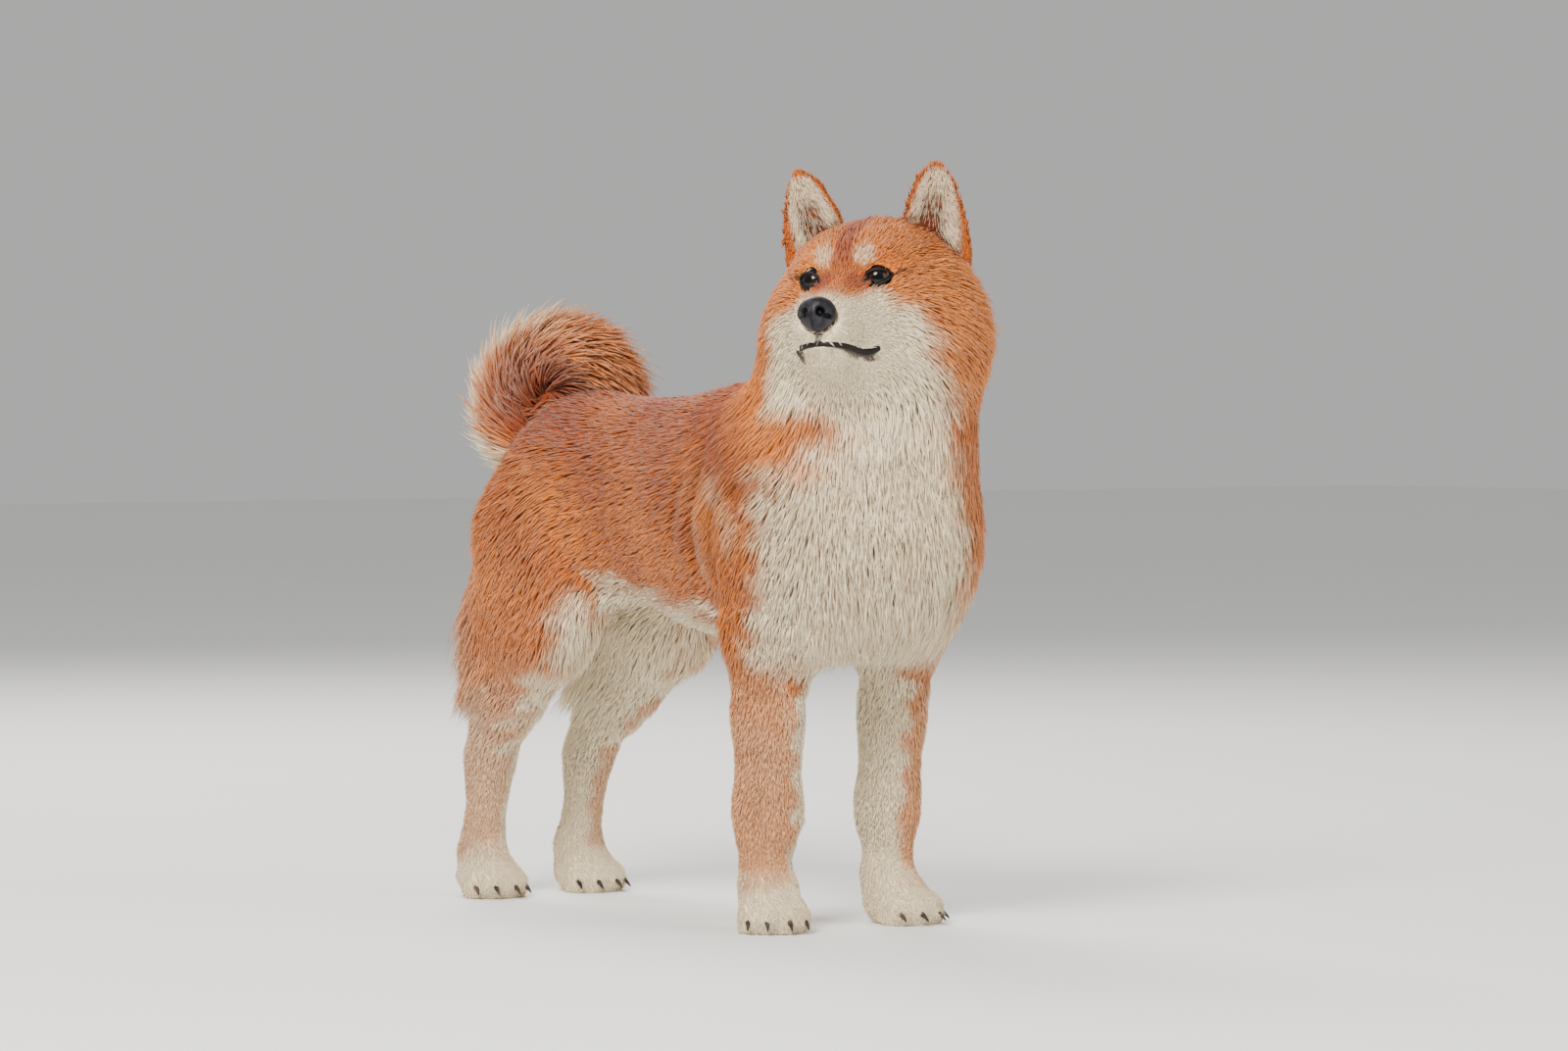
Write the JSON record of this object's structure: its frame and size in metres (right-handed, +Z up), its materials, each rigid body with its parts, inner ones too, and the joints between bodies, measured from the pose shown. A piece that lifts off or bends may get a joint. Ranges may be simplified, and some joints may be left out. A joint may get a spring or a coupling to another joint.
{
  "type": "shiba inu",
  "caption": "Life-size standing shiba inu, still: turned head with pricked ears, plush coat, breeches and a bushy tail curled over the back, standing on four paws.",
  "frame": {"origin": "on the floor, under the middle of the whole animal's box", "axes": "+X towards the animal's front, +Y to its left, +Z up"},
  "size_m": [0.5666, 0.2232, 0.5664],
  "materials": {
    "coat_red": "plush red-orange fur, matt with a soft sheen",
    "coat_cream": "dense cream fur, matt",
    "nose_leather": "pebbled black nose leather, satin",
    "eye": "wet dark brown eye, glossy"
  },
  "bodies": {
    "root": {"chest": "coat_cream", "ear_left": "coat_red", "ear_right": "coat_red", "eye_left": "eye", "eye_right": "eye", "forearm_left": "coat_red", "forearm_right": "coat_red", "forepaw_left": "coat_cream", "forepaw_right": "coat_cream", "head": "coat_red", "hindpaw_left": "coat_cream", "hindpaw_right": "coat_cream", "hock_left": "coat_red", "hock_right": "coat_red", "loin": "coat_red", "neck": "coat_red", "nose": "nose_leather", "rump": "coat_red", "shank_left": "coat_red", "shank_right": "coat_red", "tail_arch": "coat_red", "tail_root": "coat_red", "tail_tip": "coat_red", "thigh_left": "coat_red", "thigh_right": "coat_red", "upper_arm_left": "coat_red", "upper_arm_right": "coat_red"}
  },
  "joints": []
}
